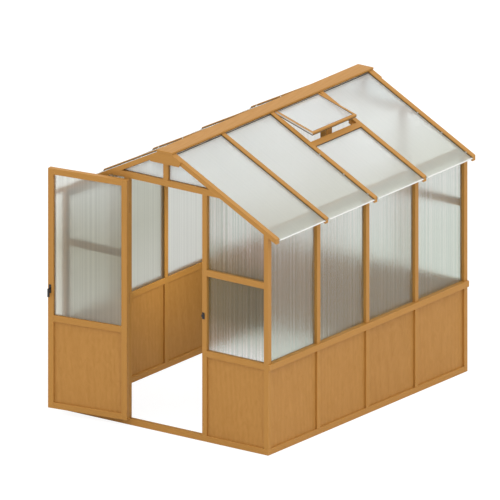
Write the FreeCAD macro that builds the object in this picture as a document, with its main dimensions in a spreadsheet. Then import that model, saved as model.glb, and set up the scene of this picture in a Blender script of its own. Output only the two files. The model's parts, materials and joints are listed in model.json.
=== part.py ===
import FreeCAD, Part
import os
import re

# A wooden greenhouse with twin-wall panes, a hinged door and a roof vent.
# X runs across, Y from front to back and Z up. The origin is the centre of the threshold's underside.
# The door and the vent are built closed, then swung to the position they stand in.

# Driving dimensions, in millimetres and degrees
DIMENSIONS = (
    ("house_width", 1830, "across the outer faces of the side walls"),
    ("house_length", 2440, "from the front wall's outer face to the rear wall's"),
    ("eave_height", 1685, "rafters' top plane above the side wall's outer face"),
    ("roof_pitch", 26.9, "slope of the roof"),
    ("timber", 40, "side of the square frame timber"),
    ("sill_height", 45, "height of the sills"),
    ("dado_base", 642, "underside of the dado rails"),
    ("dado_height", 46, "height of the dado rails"),
    ("dado_proud", 15, "how far the side dado rails stand out from the posts"),
    ("dado_first", 955, "length of the front stretch of a side dado rail"),
    ("dado_middle", 589, "length of the middle stretch of a side dado rail"),
    ("transom_base", 1253, "underside of the transoms"),
    ("transom_height", 47, "height of the transoms"),
    ("tie_drop", 239, "from the roof's apex down to the tie beam's top"),
    ("tie_height", 46, "height of the tie beams"),
    ("door_opening", 653, "between the door jambs"),
    ("pane_thickness", 4, "thickness of the twin-wall sheet"),
    ("pane_recess", 26, "wall panes behind the frame's outer face"),
    ("panel_thickness", 9, "thickness of the lower wood panels"),
    ("panel_recess", 15, "lower panels behind the frame's outer face"),
    ("groove_depth", 8, "how far panes and panels reach into the frame"),
    ("fit_gap", 0.3, "clearance round a sheet in its groove, and between knuckles"),
    ("rafter_depth", 36, "depth of a rafter, square to the slope"),
    ("eave_overhang", 70, "rafter tails beyond the side wall"),
    ("pane_overhang", 80, "roof panes beyond the side wall"),
    ("roof_pane_drop", 12, "roof panes below the rafters' top"),
    ("eave_pane_gap", 2, "between the side panes and the roof panes"),
    ("eave_plate_width", 40, "width of the eave plates"),
    ("eave_plate_height", 40, "height of the eave plates at their outer face"),
    ("ridge_flat_drop", 31, "from the apex down to the flat that the ridge board lies on"),
    ("ridge_board_width", 138, "width of the ridge board"),
    ("ridge_board_thickness", 15, "thickness of the ridge board"),
    ("ridge_board_overhang", 14, "ridge board beyond the end walls"),
    ("ridge_beam_thickness", 24, "thickness of the ridge beam"),
    ("ridge_beam_depth", 60, "depth of the ridge beam"),
    ("gusset_thickness", 12, "thickness of the gusset plates"),
    ("gusset_drop", 115, "from the apex down to the gussets' lower edge"),
    ("gusset_reach", 164, "gussets down the slope from the apex"),
    ("vent_hinge_along", 72, "vent hinge down the slope from the apex"),
    ("vent_hinge_drop", 10, "vent hinge below the rafters' top"),
    ("vent_hinge_offset", 8, "from the vent hinge to the wood on either side"),
    ("vent_length", 348, "length of the vent leaf down the slope"),
    ("vent_thickness", 20, "thickness of the vent leaf"),
    ("vent_border", 20, "width of the vent leaf's rails"),
    ("vent_pane_drop", 3, "vent pane below the top of its rails"),
    ("vent_groove", 6, "how far the vent pane reaches into its rails"),
    ("vent_gap", 12, "between the vent leaf and the opening's sides"),
    ("vent_open_angle", 10, "how far the vent stands open"),
    ("trimmer_width", 48, "width of the trimmer below the vent"),
    ("header_depth", 40, "depth of the header above the vent"),
    ("cleat_length", 36, "length of a vent stop cleat"),
    ("cleat_width", 20, "width of a vent stop cleat"),
    ("vent_hinge_length", 45, "length of a vent hinge"),
    ("vent_hinge_inset", 80, "from the leaf's side to a vent hinge"),
    ("vent_knuckle_radius", 4, "outer radius of a vent hinge's knuckles"),
    ("vent_pin_radius", 2, "radius of a vent hinge's pin"),
    ("hinge_plate", 2, "thickness of the hinge leaves"),
    ("pin_gap", 0.05, "running clearance of a pin in its bore"),
    ("stay_width", 60, "width of the vent stay"),
    ("stay_thickness", 16, "thickness of the vent stay"),
    ("stay_length", 125, "stay below its pivot"),
    ("stay_along", 46, "stay's pivot up the slope from the bottom rail's lower edge"),
    ("stay_drop", 14, "stay's pivot below the vent leaf"),
    ("stay_cheek", 2.5, "thickness of the stay bracket's sheet"),
    ("stay_pin_radius", 3, "radius of the stay's pin"),
    ("door_thickness", 40, "thickness of the door"),
    ("door_gap", 3, "gap above, below and at the hinge side of the door"),
    ("latch_gap", 7, "gap at the latch side of the door"),
    ("stile_width", 45, "width of the door's stiles and end rails"),
    ("door_middle_base", 705, "underside of the door's middle rail"),
    ("door_middle_height", 47, "height of the door's middle rail"),
    ("door_open_angle", 172, "how far the door stands open"),
    ("hinge_proud", 6, "door hinge axis in front of the wall"),
    ("hinge_inset", 5.6, "door hinge axis in from the door's edge"),
    ("hinge_length", 75, "length of a door hinge"),
    ("hinge_width", 36, "width of a door hinge's leaf"),
    ("hinge_from_end", 180, "from the door's ends to its outer hinges"),
    ("knuckle_radius", 5.5, "outer radius of a door hinge's knuckles"),
    ("hinge_pin_radius", 3, "radius of a door hinge's pin"),
    ("pin_head_radius", 4.5, "radius of a door hinge pin's head"),
    ("pin_head_height", 2, "height of a door hinge pin's head"),
    ("handle_height", 950, "spindle of the door handle above the ground"),
    ("handle_inset", 18, "spindle of the door handle in from the door's edge"),
    ("handle_plate_width", 18, "width of a handle plate"),
    ("handle_plate_height", 64, "height of a handle plate"),
    ("handle_plate_thickness", 2, "thickness of a handle plate"),
    ("spindle_radius", 4, "radius of the handle's spindle"),
    ("spindle_room", 2, "clearance of the spindle's hole in the stile"),
    ("hub_radius", 8, "radius of the levers' hubs"),
    ("inner_standoff", 18, "inner lever's grip from its plate"),
    ("grip_width", 14, "width of the inner lever's grip"),
    ("grip_thickness", 10, "thickness of the inner lever's grip"),
    ("grip_length", 56, "inner lever below its spindle"),
    ("outer_standoff", 2, "outer lever's arm from its plate"),
    ("arm_width", 12, "width of the outer lever's arm"),
    ("arm_thickness", 4, "thickness of the outer lever's arm"),
    ("arm_length", 58, "outer lever below its spindle"),
    ("keeper_width", 22, "width of the keeper"),
    ("keeper_height", 50, "height of the keeper"),
    ("keeper_sheet", 2, "thickness of the keeper's sheet"),
    ("keeper_room", 1.5, "clearance of the lever's arm in the keeper"),
)

# Counts, with the vent in the bay just behind the middle of the house
BAYS = 4
VENT_BAY = BAYS // 2
ENDS = ("front", "rear")
SIDES = {"left": -1, "right": 1}

# Lengths and places that follow from the driving dimensions
DERIVED = {
    "half_width": "house_width / 2",
    "wall_inner": "half_width - timber",
    "front_face": "-timber / 2",
    "front_inner": "timber / 2",
    "rear_face": "house_length - timber / 2",
    "rear_inner": "rear_face - timber",
    "bay_pitch": f"(house_length - timber) / {BAYS}",
    "apex": "eave_height + half_width * tan(roof_pitch)",
    "ridge_seat": "apex - ridge_flat_drop",
    "beam_base": "ridge_seat - ridge_beam_depth",
    "beam_half": "ridge_beam_thickness / 2",
    "tie_top": "apex - tie_drop",
    "tie_base": "tie_top - tie_height",
    "dado_top": "dado_base + dado_height",
    "transom_top": "transom_base + transom_height",
    "jamb_inner": "door_opening / 2",
    "jamb_outer": "jamb_inner + timber",
    "side_pane_outer": "half_width - pane_recess",
    "side_pane_inner": "side_pane_outer - pane_thickness",
    "side_panel_outer": "half_width - panel_recess",
    "roof_pane_under": "roof_pane_drop + pane_thickness",
    "roof_over_pane": "apex - roof_pane_under / cos(roof_pitch) - side_pane_outer * tan(roof_pitch)",
    "side_pane_top": "roof_over_pane - eave_pane_gap",
    "plate_outer": "side_pane_inner - fit_gap",
    "rafter_over_plate": "apex - rafter_depth / cos(roof_pitch) - plate_outer * tan(roof_pitch)",
    "plate_base": "rafter_over_plate - eave_plate_height",
    "tail_end": "half_width + eave_overhang",
    "rafter_stock": "(tail_end + rafter_depth) / cos(roof_pitch)",
    "pane_tail": "(half_width + pane_overhang) / cos(roof_pitch)",
    "pane_head": "ridge_flat_drop / sin(roof_pitch)",
    "groove_level": "groove_depth - rafter_depth",
    "vent_start": "vent_hinge_along + vent_hinge_offset",
    "vent_end": "vent_start + vent_length",
    "vent_pane_under": "vent_pane_drop + pane_thickness",
    "trimmer_start": "vent_end + vent_gap",
    "trimmer_end": "trimmer_start + trimmer_width",
    "vent_axis_x": "vent_hinge_along * cos(roof_pitch) - vent_hinge_drop * sin(roof_pitch)",
    "vent_axis_z": "apex - vent_hinge_along * sin(roof_pitch) - vent_hinge_drop * cos(roof_pitch)",
    "header_face": "vent_axis_x - vent_hinge_offset",
    "stay_u": "vent_end - stay_along",
    "stay_w": "-vent_thickness - stay_drop",
    "stay_closed_x": "stay_u * cos(roof_pitch) + stay_w * sin(roof_pitch)",
    "stay_closed_z": "apex - stay_u * sin(roof_pitch) + stay_w * cos(roof_pitch)",
    "stay_arm_x": "stay_closed_x - vent_axis_x",
    "stay_arm_z": "stay_closed_z - vent_axis_z",
    "stay_x": "vent_axis_x + stay_arm_x * cos(vent_open_angle) - stay_arm_z * sin(vent_open_angle)",
    "stay_z": "vent_axis_z + stay_arm_x * sin(vent_open_angle) + stay_arm_z * cos(vent_open_angle)",
    "stay_radius": "stay_thickness / 2",
    "door_left": "door_gap - jamb_inner",
    "door_right": "jamb_inner - latch_gap",
    "door_base": "sill_height + door_gap",
    "door_top": "tie_base - door_gap",
    "door_inner": "front_face + door_thickness",
    "door_middle_top": "door_middle_base + door_middle_height",
    "door_axis_x": "door_left + hinge_inset",
    "door_axis_y": "front_face - hinge_proud",
    "knuckle_room": "knuckle_radius + hinge_plate / 2",
    "handle_x": "door_right - handle_inset",
    "inner_plate": "door_inner + handle_plate_thickness",
    "outer_plate": "front_face - handle_plate_thickness",
    "grip_face": "inner_plate + inner_standoff",
    "grip_back": "grip_face + grip_thickness",
    "arm_face": "outer_plate - outer_standoff",
    "arm_front": "arm_face - arm_thickness",
    "keeper_left": "jamb_inner + keeper_room",
    "keeper_lip": "arm_front - keeper_room",
    "keeper_roof": "handle_height + arm_width / 2 + keeper_room",
    "keeper_base": "handle_height - arm_width / 2 - keeper_room",
}

doc = FreeCAD.newDocument("greenhouse")
sheet = doc.addObject("Spreadsheet::Sheet", "Dims")
for row, (alias, value, note) in enumerate(DIMENSIONS, start=1):
    sheet.set(f"A{row}", note)
    sheet.set(f"B{row}", str(value))
    sheet.setAlias(f"B{row}", alias)
doc.recompute()

ALIASES = {alias for alias, value, note in DIMENSIONS}
NODES = []


def expand(text):
    """Write a formula out in the sheet's own cells."""

    def swap(match):
        word = match.group()
        if word in ALIASES:
            return f"Dims.{word}"
        if word in DERIVED:
            return f"({expand(DERIVED[word])})"
        return word

    return re.sub(r"[a-z]\w*", swap, text)


def bind(thing, path, text):
    """Tie one property of a piece to a formula."""
    thing.setExpression(path, expand(text))


def place(thing, x, y, z):
    bind(thing, "Placement.Base.x", x)
    bind(thing, "Placement.Base.y", y)
    bind(thing, "Placement.Base.z", z)


def size(box, x, y, z):
    bind(box, "Length", f"({x[1]}) - ({x[0]})")
    bind(box, "Width", f"({y[1]}) - ({y[0]})")
    bind(box, "Height", f"({z[1]}) - ({z[0]})")


def block(x, y, z):
    """A rectangular piece between two planes in each direction."""
    box = doc.addObject("Part::Box", "Block")
    size(box, x, y, z)
    place(box, x[0], y[0], z[0])
    return box


def roof_block(side, along, y, level):
    """A rectangular piece that follows one roof slope.

    along is measured down the slope from the apex, and level square to it from the rafters' top.
    """
    box = doc.addObject("Part::Box", "RoofBlock")
    size(box, along, y, level)
    box.Placement = FreeCAD.Placement(FreeCAD.Vector(), FreeCAD.Rotation(FreeCAD.Vector(0, side, 0), 1))
    bind(box, "Placement.Rotation.Angle", "roof_pitch")
    start = f"({along[0]})" if side > 0 else f"({along[1]})"
    low = f"({level[0]})"
    across = f"{start} * cos(roof_pitch) + {low} * sin(roof_pitch)"
    up = f"apex - {start} * sin(roof_pitch) + {low} * cos(roof_pitch)"
    if side < 0:
        across = f"-({across})"
    place(box, across, y[0], up)
    return box


def rod(direction, span, radius, x="0", y="0", z="0"):
    """A round bar along Y or Z, between two planes, on the line through the other two places."""
    bar = doc.addObject("Part::Cylinder", "Rod")
    bind(bar, "Radius", radius)
    bind(bar, "Height", f"({span[1]}) - ({span[0]})")
    if direction == "Y":
        bar.Placement = FreeCAD.Placement(
            FreeCAD.Vector(), FreeCAD.Rotation(FreeCAD.Vector(0, 0, 1), FreeCAD.Vector(0, 1, 0))
        )
        place(bar, x, span[0], z)
    else:
        place(bar, x, y, span[0])
    return bar


def group(pieces):
    """Separate solids that count as one."""
    bundle = doc.addObject("Part::Compound", "Group")
    bundle.Links = pieces
    return bundle


def fuse(pieces):
    joined = doc.addObject("Part::MultiFuse", "Fuse")
    joined.Shapes = pieces
    return joined


def cut(base, *tools):
    """A piece with each tool taken away from it in turn."""
    for tool in tools:
        result = doc.addObject("Part::Cut", "Cut")
        result.Base = base
        result.Tool = tool
        base = result
    return base


def node(label, piece):
    """Name a finished sub-part."""
    piece.Label = label
    NODES.append(piece)
    return piece


def grow(span, by):
    return (f"({span[0]}) - ({by})", f"({span[1]}) + ({by})")


def mirror(span):
    return (f"-({span[1]})", f"-({span[0]})")


def centred(width):
    return (f"-({width}) / 2", f"({width}) / 2")


def around(middle, width):
    return (f"({middle}) - ({width}) / 2", f"({middle}) + ({width}) / 2")


def sided(side, span):
    return span if side > 0 else mirror(span)


FAR_LENGTH = ("-house_length", "2 * house_length")


def above_roof(level):
    """Everything above a plane that lies at a level of both roof slopes."""
    along = ("-house_width", "2 * house_width")
    return fuse([roof_block(side, along, FAR_LENGTH, (level, "house_width")) for side in SIDES.values()])


# Planes of the roof that cut the pieces below it
ABOVE_UNDERSIDE = above_roof("-rafter_depth")
ABOVE_GROOVE = above_roof("groove_level")
ABOVE_GROOVE_ROOM = above_roof("groove_level + fit_gap")

FRONT_WALL = ("front_face", "front_inner")
REAR_WALL = ("rear_inner", "rear_face")
END_WALLS = {"front": FRONT_WALL, "rear": REAR_WALL}
BETWEEN_ENDS = ("front_inner", "rear_inner")
SIDE_WALL = ("wall_inner", "half_width")
POST_HEIGHT = ("sill_height", "eave_height + timber")


def post_span(index):
    """Where a post and its rafter stand along the house."""
    start = f"front_face + {index} * bay_pitch"
    return (start, f"{start} + timber")


def bay_span(index):
    """The clear bay behind a post."""
    return (post_span(index)[1], post_span(index + 1)[0])


class Sheets:
    """The panes and panels of one wall or slope, and the grooves that they need in the frame."""

    def __init__(self):
        self.grooves = []

    def sheet(self, x, y, z, sloped=False):
        piece = block(x, y, z)
        room = block(*[grow(span, "fit_gap") for span in (x, y, z)])
        if sloped:
            piece = cut(piece, ABOVE_GROOVE)
            room = cut(room, ABOVE_GROOVE_ROOM)
        self.grooves.append(room)
        return piece

    def roof_sheet(self, side, along, y, level):
        room = [grow(span, "fit_gap") for span in (along, y, level)]
        self.grooves.append(roof_block(side, *room))
        return roof_block(side, along, y, level)

    def room(self):
        return fuse(self.grooves)


# Panes and panels of the end walls
RIGHT_BAY = ("jamb_outer", "wall_inner")
MIDDLE_BAY = ("-jamb_inner", "jamb_inner")
END_BAYS = {"front": (RIGHT_BAY, mirror(RIGHT_BAY)), "rear": (RIGHT_BAY, MIDDLE_BAY, mirror(RIGHT_BAY))}
END_PANE = {
    "front": ("front_face + pane_recess", "front_face + pane_recess + pane_thickness"),
    "rear": ("rear_face - pane_recess - pane_thickness", "rear_face - pane_recess"),
}
END_PANEL = {
    "front": ("front_face + panel_recess", "front_face + panel_recess + panel_thickness"),
    "rear": ("rear_face - panel_recess - panel_thickness", "rear_face - panel_recess"),
}
PANEL_HEIGHT = grow(("sill_height", "dado_base"), "groove_depth")
LOWER_PANE_HEIGHT = grow(("dado_top", "transom_base"), "groove_depth")
UPPER_PANE_HEIGHT = grow(("transom_top", "tie_base"), "groove_depth")
GABLE_PANE_HEIGHT = ("tie_top - groove_depth", "apex - gusset_drop + groove_depth")
GABLE_PANE_WIDTH = ("timber / 2 - groove_depth", "half_width")

gable_panes = []
end_rooms = {}
for end in ENDS:
    sheets = Sheets()
    panes = []
    panels = []
    for bay in END_BAYS[end]:
        width = grow(bay, "groove_depth")
        panels.append(sheets.sheet(width, END_PANEL[end], PANEL_HEIGHT))
        panes.append(sheets.sheet(width, END_PANE[end], LOWER_PANE_HEIGHT))
        panes.append(sheets.sheet(width, END_PANE[end], UPPER_PANE_HEIGHT, sloped=True))
    for side in SIDES.values():
        width = sided(side, GABLE_PANE_WIDTH)
        gable_panes.append(sheets.sheet(width, END_PANE[end], GABLE_PANE_HEIGHT, sloped=True))
    node(f"{end}_wall_panes", group(panes))
    node(f"{end}_wall_panels", group(panels))
    end_rooms[end] = sheets.room()
node("gable_panes", group(gable_panes))

# Panes and panels of the side walls
side_rooms = {}
for name, side in SIDES.items():
    sheets = Sheets()
    panes = []
    panels = []
    for index in range(BAYS):
        length = grow(bay_span(index), "groove_depth")
        pane_x = sided(side, ("side_pane_inner", "side_pane_outer"))
        panel_x = sided(side, ("side_panel_outer - panel_thickness", "side_panel_outer"))
        panes.append(sheets.sheet(pane_x, length, ("dado_top - groove_depth", "side_pane_top")))
        panels.append(sheets.sheet(panel_x, length, PANEL_HEIGHT))
    node(f"{name}_wall_panes", group(panes))
    node(f"{name}_wall_panels", group(panels))
    side_rooms[name] = sheets.room()

# Roof panes, with a short one below the vent
ROOF_PANE_LEVEL = ("-roof_pane_under", "-roof_pane_drop")
roof_rooms = {}
for name, side in SIDES.items():
    sheets = Sheets()
    panes = []
    for index in range(BAYS):
        length = grow(bay_span(index), "groove_depth")
        if side > 0 and index == VENT_BAY:
            along = ("trimmer_end - groove_depth", "pane_tail")
            node("vent_bay_pane", group([sheets.roof_sheet(side, along, length, ROOF_PANE_LEVEL)]))
        else:
            panes.append(sheets.roof_sheet(side, ("pane_head", "pane_tail"), length, ROOF_PANE_LEVEL))
    node(f"{name}_roof_panes", group(panes))
    roof_rooms[name] = sheets.room()

# Sills
for end in ENDS:
    sill = block(("-half_width", "half_width"), END_WALLS[end], ("0", "sill_height"))
    node(f"{end}_sill", cut(sill, end_rooms[end], *side_rooms.values()))
side_sills = [
    cut(block(sided(side, SIDE_WALL), BETWEEN_ENDS, ("0", "sill_height")), side_rooms[name])
    for name, side in SIDES.items()
]
node("side_sills", group(side_sills))

# Eave plates, bevelled to the roof, and the posts that they are let into
eave_stock = {
    name: block(
        sided(side, ("plate_outer - eave_plate_width", "plate_outer")),
        BETWEEN_ENDS,
        ("plate_base", "plate_base + 2 * eave_plate_height"),
    )
    for name, side in SIDES.items()
}
node("eave_plates", group([cut(stock, ABOVE_UNDERSIDE) for stock in eave_stock.values()]))

side_stock = {}
side_posts = []
corner_posts = []
for name, side in SIDES.items():
    stock = [block(sided(side, SIDE_WALL), post_span(index), POST_HEIGHT) for index in range(BAYS + 1)]
    side_stock[name] = group(stock)
    for end, corner in zip(ENDS, (stock[0], stock[-1])):
        corner_posts.append(cut(corner, ABOVE_UNDERSIDE, side_rooms[name], end_rooms[end]))
    for post in stock[1:-1]:
        side_posts.append(cut(post, ABOVE_UNDERSIDE, side_rooms[name], eave_stock[name]))
node("corner_posts", group(corner_posts))
node("side_wall_posts", group(side_posts))

# Door jambs and rear studs
STUD_HEIGHT = ("sill_height", "tie_base")
JAMB = ("jamb_inner", "jamb_outer")
rear_studs = []
for name, side in SIDES.items():
    jamb = block(sided(side, JAMB), FRONT_WALL, STUD_HEIGHT)
    node(f"{name}_door_jamb", cut(jamb, end_rooms["front"]))
    rear_studs.append(cut(block(sided(side, JAMB), REAR_WALL, STUD_HEIGHT), end_rooms["rear"]))
node("rear_wall_studs", group(rear_studs))

# Dado rails: housed over the posts in three lengths at the sides, between the posts at the ends
DADO = ("dado_base", "dado_top")
FIRST_JOINT = "front_face + dado_first"
DADO_JOINTS = ("front_face", FIRST_JOINT, f"{FIRST_JOINT} + dado_middle", "rear_face")
for name, side in SIDES.items():
    depth = sided(side, ("wall_inner", "half_width + dado_proud"))
    housings = (side_stock[name], side_rooms[name], end_rooms["front"], end_rooms["rear"])
    stretches = [
        cut(block(depth, length, DADO), *housings)
        for length in zip(DADO_JOINTS[:-1], DADO_JOINTS[1:])
    ]
    node(f"{name}_dado_rail", group(stretches))

# Rails of the end walls
TRANSOM = ("transom_base", "transom_top")
tie_beams = []
king_posts = []
for end in ENDS:
    wall = END_WALLS[end]
    room = end_rooms[end]
    node(f"{end}_dado_rails", group([cut(block(bay, wall, DADO), room) for bay in END_BAYS[end]]))
    node(f"{end}_transoms", group([cut(block(bay, wall, TRANSOM), room) for bay in END_BAYS[end]]))
    tie = block(("-half_width", "half_width"), wall, ("tie_base", "tie_top"))
    tie_beams.append(cut(tie, ABOVE_UNDERSIDE, room))
    king_posts.append(cut(block(centred("timber"), wall, ("tie_top", "beam_base")), room))
node("tie_beams", group(tie_beams))
node("king_posts", group(king_posts))

# Ridge beam, flat ridge board and gusset plates
HOUSE_LENGTH = ("front_face", "rear_face")
beam_height = ("beam_base", "ridge_seat")
node("ridge_beam", group([block(centred("ridge_beam_thickness"), HOUSE_LENGTH, beam_height)]))
ridge_length = grow(HOUSE_LENGTH, "ridge_board_overhang")
ridge_height = ("ridge_seat", "ridge_seat + ridge_board_thickness")
node("ridge_board", group([block(centred("ridge_board_width"), ridge_length, ridge_height)]))

GUSSET_WALL = {
    "front": ("front_face - gusset_thickness", "front_face"),
    "rear": ("rear_face", "rear_face + gusset_thickness"),
}
GUSSET_ALONG = ("-house_width", "gusset_reach")
UNDER_ROOF = ("-house_width", "0")
gussets = []
for end in ENDS:
    wall = GUSSET_WALL[end]
    outline = [block(centred("2 * gusset_reach"), wall, ("apex - gusset_drop", "ridge_seat"))]
    for side in SIDES.values():
        outline.append(roof_block(side, GUSSET_ALONG, wall, UNDER_ROOF))
    gusset = doc.addObject("Part::MultiCommon", "Gusset")
    gusset.Shapes = outline
    gussets.append(gusset)
node("gusset_plates", group(gussets))

# Rafters, cut plumb at the ridge beam and at their tails, and level under the ridge board
FAR_HEIGHT = ("0", "2 * apex")
ABOVE_SEAT = block(("-half_width", "half_width"), FAR_LENGTH, ("ridge_seat", "2 * apex"))
RAFTER_LEVEL = ("-rafter_depth", "0")
for name, side in SIDES.items():
    stock = [
        roof_block(side, ("0", "rafter_stock"), post_span(index), RAFTER_LEVEL)
        for index in range(BAYS + 1)
    ]
    trims = [
        block(sided(side, past), FAR_LENGTH, FAR_HEIGHT)
        for past in (("-half_width", "beam_half"), ("tail_end", "tail_end + house_width"))
    ]
    rooms = (roof_rooms[name], side_rooms[name], end_rooms["front"], end_rooms["rear"])
    node(f"{name}_rafters", group([cut(rafter, ABOVE_SEAT, *trims, *rooms) for rafter in stock]))

# Opening of the roof vent
VENT_CLEAR = bay_span(VENT_BAY)
trimmer = roof_block(1, ("trimmer_start", "trimmer_end"), VENT_CLEAR, RAFTER_LEVEL)
node("vent_trimmer", cut(trimmer, roof_rooms["right"]))
header_height = ("ridge_seat - header_depth", "ridge_seat")
node("vent_header", group([block(("beam_half", "header_face"), VENT_CLEAR, header_height)]))
CLEAT_ALONG = ("vent_end - cleat_length", "vent_end")
CLEAT_LEVEL = ("-rafter_depth", "-vent_thickness - fit_gap")
CLEATS = (
    (VENT_CLEAR[0], f"{VENT_CLEAR[0]} + cleat_width"),
    (f"{VENT_CLEAR[1]} - cleat_width", VENT_CLEAR[1]),
)
node("vent_cleats", group([roof_block(1, CLEAT_ALONG, cleat, CLEAT_LEVEL) for cleat in CLEATS]))


def vent_swing(label, piece):
    """Swing a piece of the closed vent open about its hinges."""
    swung = group([piece])
    swung.Placement = FreeCAD.Placement(FreeCAD.Vector(), FreeCAD.Rotation(FreeCAD.Vector(0, -1, 0), 1))
    bind(swung, "Placement.Rotation.Angle", "vent_open_angle")
    turned_x = "vent_axis_x * cos(vent_open_angle) - vent_axis_z * sin(vent_open_angle)"
    turned_z = "vent_axis_x * sin(vent_open_angle) + vent_axis_z * cos(vent_open_angle)"
    place(swung, f"vent_axis_x - ({turned_x})", "0", f"vent_axis_z - ({turned_z})")
    return node(label, swung)


# Leaf of the roof vent, whose pane laps over the top rail
VENT_SIDES = (f"{VENT_CLEAR[0]} + vent_gap", f"{VENT_CLEAR[1]} - vent_gap")
VENT_WITHIN = grow(VENT_SIDES, "-vent_border")
VENT_LEVEL = ("-vent_thickness", "0")
VENT_ALONG = ("vent_start", "vent_end")
pane_along = ("vent_start", "vent_end - vent_border + vent_groove")
pane_level = ("-vent_pane_under", "-vent_pane_drop")
pane_width = grow(VENT_WITHIN, "vent_groove")
vent_pane = roof_block(1, pane_along, pane_width, pane_level)
vent_room = roof_block(1, *[grow(span, "fit_gap") for span in (pane_along, pane_width, pane_level)])
side_rails = [
    roof_block(1, VENT_ALONG, width, VENT_LEVEL)
    for width in ((VENT_SIDES[0], VENT_WITHIN[0]), (VENT_WITHIN[1], VENT_SIDES[1]))
]
UNDER_PANE = ("-vent_thickness", "-vent_pane_under")
top_rail = roof_block(1, ("vent_start", "vent_start + vent_border"), VENT_WITHIN, UNDER_PANE)
bottom_rail = roof_block(1, ("vent_end - vent_border", "vent_end"), VENT_WITHIN, VENT_LEVEL)
vent_swing("vent_side_rails", group([cut(rail, vent_room) for rail in side_rails]))
vent_swing("vent_top_rail", top_rail)
vent_swing("vent_bottom_rail", cut(bottom_rail, vent_room))
vent_swing("vent_pane", vent_pane)


def knuckles(start, length):
    """The three stretches of a hinge: fixed, moving, fixed."""
    third = f"({length}) / 3"
    ends = [f"({start}) + {index} * {third}" for index in range(4)]
    return (
        (ends[0], f"{ends[1]} - fit_gap"),
        (ends[1], ends[2]),
        (f"{ends[2]} + fit_gap", ends[3]),
    )


# Vent hinges, between the header and the top rail
VENT_HINGE_STARTS = (
    f"{VENT_SIDES[0]} + vent_hinge_inset",
    f"{VENT_SIDES[1]} - vent_hinge_inset - vent_hinge_length",
)
VENT_BORE = "vent_pin_radius + pin_gap"
VENT_AXIS = {"x": "vent_axis_x", "z": "vent_axis_z"}
plate_z = ("vent_axis_z - 3 * vent_knuckle_radius", "vent_axis_z + 2 * vent_knuckle_radius")
web_level = around("-vent_hinge_drop", "hinge_plate")
fixed_leaves = []
moving_leaves = []
vent_pins = []
for start in VENT_HINGE_STARTS:
    whole = (start, f"{start} + vent_hinge_length")
    bore = rod("Y", grow(whole, "timber"), VENT_BORE, **VENT_AXIS)
    first, middle, last = knuckles(start, "vent_hinge_length")
    fixed = [block(("header_face", "header_face + hinge_plate"), whole, plate_z)]
    for stretch in (first, last):
        fixed.append(block(("header_face", "vent_axis_x"), stretch, around("vent_axis_z", "hinge_plate")))
        fixed.append(rod("Y", stretch, "vent_knuckle_radius", **VENT_AXIS))
    fixed_leaves.append(cut(fuse(fixed), bore))
    moving = [
        roof_block(1, ("vent_start - hinge_plate", "vent_start"), whole, UNDER_PANE),
        roof_block(1, ("vent_hinge_along", "vent_start"), middle, web_level),
        rod("Y", middle, "vent_knuckle_radius", **VENT_AXIS),
    ]
    moving_leaves.append(cut(fuse(moving), bore))
    vent_pins.append(rod("Y", whole, "vent_pin_radius", **VENT_AXIS))
node("vent_hinge_fixed_leaves", group(fixed_leaves))
vent_swing("vent_hinge_moving_leaves", group(moving_leaves))
node("vent_hinge_pins", group(vent_pins))

# Stay of the vent, hanging from a bracket under the bottom rail
STAY_MIDDLE = f"({VENT_SIDES[0]} + {VENT_SIDES[1]}) / 2"
STAY_WIDTH = around(STAY_MIDDLE, "stay_width")
CHEEK_ROOM = grow(STAY_WIDTH, "fit_gap")
BRACKET_WIDTH = grow(CHEEK_ROOM, "stay_cheek")
bracket_level = ("-vent_thickness - stay_cheek", "-vent_thickness")
cheek_along = around("stay_u", "2 * stay_radius")
cheek_level = ("stay_w - stay_radius", "-vent_thickness")
STAY_CLOSED = {"x": "stay_closed_x", "z": "stay_closed_z"}
bracket = [
    roof_block(1, (cheek_along[0], "vent_end"), BRACKET_WIDTH, bracket_level),
    roof_block(1, cheek_along, (BRACKET_WIDTH[0], CHEEK_ROOM[0]), cheek_level),
    roof_block(1, cheek_along, (CHEEK_ROOM[1], BRACKET_WIDTH[1]), cheek_level),
    rod("Y", BRACKET_WIDTH, "stay_pin_radius", **STAY_CLOSED),
]
vent_swing("vent_stay_bracket", fuse(bracket))
STAY_AXIS = {"x": "stay_x", "z": "stay_z"}
bar = fuse([
    block(around("stay_x", "stay_thickness"), STAY_WIDTH, ("stay_z - stay_length", "stay_z")),
    rod("Y", STAY_WIDTH, "stay_radius", **STAY_AXIS),
])
stay_bore = rod("Y", grow(STAY_WIDTH, "timber"), "stay_pin_radius + pin_gap", **STAY_AXIS)
node("vent_stay", cut(bar, stay_bore))


def door_swing(label, piece):
    """Swing a piece of the closed door open about its hinges."""
    swung = group([piece])
    swung.Placement = FreeCAD.Placement(FreeCAD.Vector(), FreeCAD.Rotation(FreeCAD.Vector(0, 0, -1), 1))
    bind(swung, "Placement.Rotation.Angle", "door_open_angle")
    turned_x = "door_axis_x * cos(door_open_angle) + door_axis_y * sin(door_open_angle)"
    turned_y = "door_axis_y * cos(door_open_angle) - door_axis_x * sin(door_open_angle)"
    place(swung, f"door_axis_x - ({turned_x})", f"door_axis_y - ({turned_y})", "0")
    return node(label, swung)


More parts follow.
